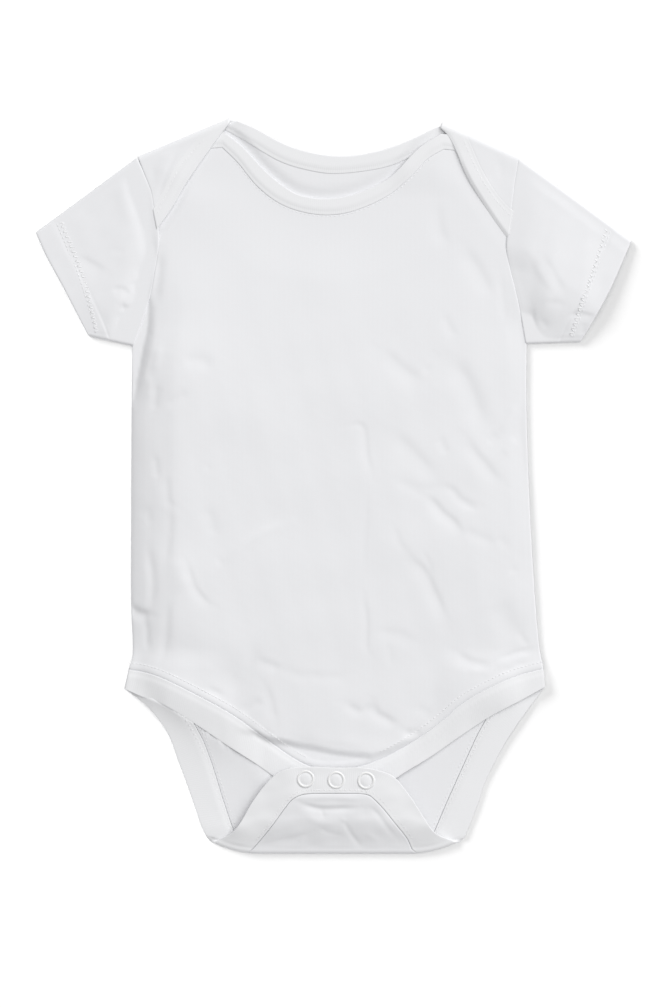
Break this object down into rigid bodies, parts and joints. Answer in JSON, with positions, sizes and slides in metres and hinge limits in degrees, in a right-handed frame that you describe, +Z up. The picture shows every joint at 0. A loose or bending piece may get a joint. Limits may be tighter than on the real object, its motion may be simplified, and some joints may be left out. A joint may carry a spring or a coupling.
{
  "type": "baby onesie",
  "caption": "Short-sleeved baby bodysuit laid flat, with an envelope neck, bound leg openings and a snapped crotch flap.",
  "frame": {"origin": "middle of the garment's outline, on the surface that it lies on", "axes": "+Y towards the neck, +X to the right as seen with the front up, +Z up out of the garment's front"},
  "size_m": [0.319, 0.3937, 0.0082],
  "materials": {
    "cotton_jersey": "white cotton interlock, matt, fine vertical wales",
    "cotton_rib": "white cotton rib binding, matt",
    "snap_metal": "white enamelled ring snap, satin"
  },
  "bodies": {
    "root": {"back_panel": "cotton_jersey", "front_panel": "cotton_jersey", "sleeve_left": "cotton_jersey", "sleeve_right": "cotton_jersey", "neck_binding_back": "cotton_rib", "neck_binding_front": "cotton_rib", "leg_binding_back": "cotton_rib", "leg_binding_front": "cotton_rib", "snap_cap_1": "snap_metal", "snap_cap_2": "snap_metal", "snap_cap_3": "snap_metal", "snap_stud_1": "snap_metal", "snap_stud_2": "snap_metal", "snap_stud_3": "snap_metal"}
  },
  "joints": []
}
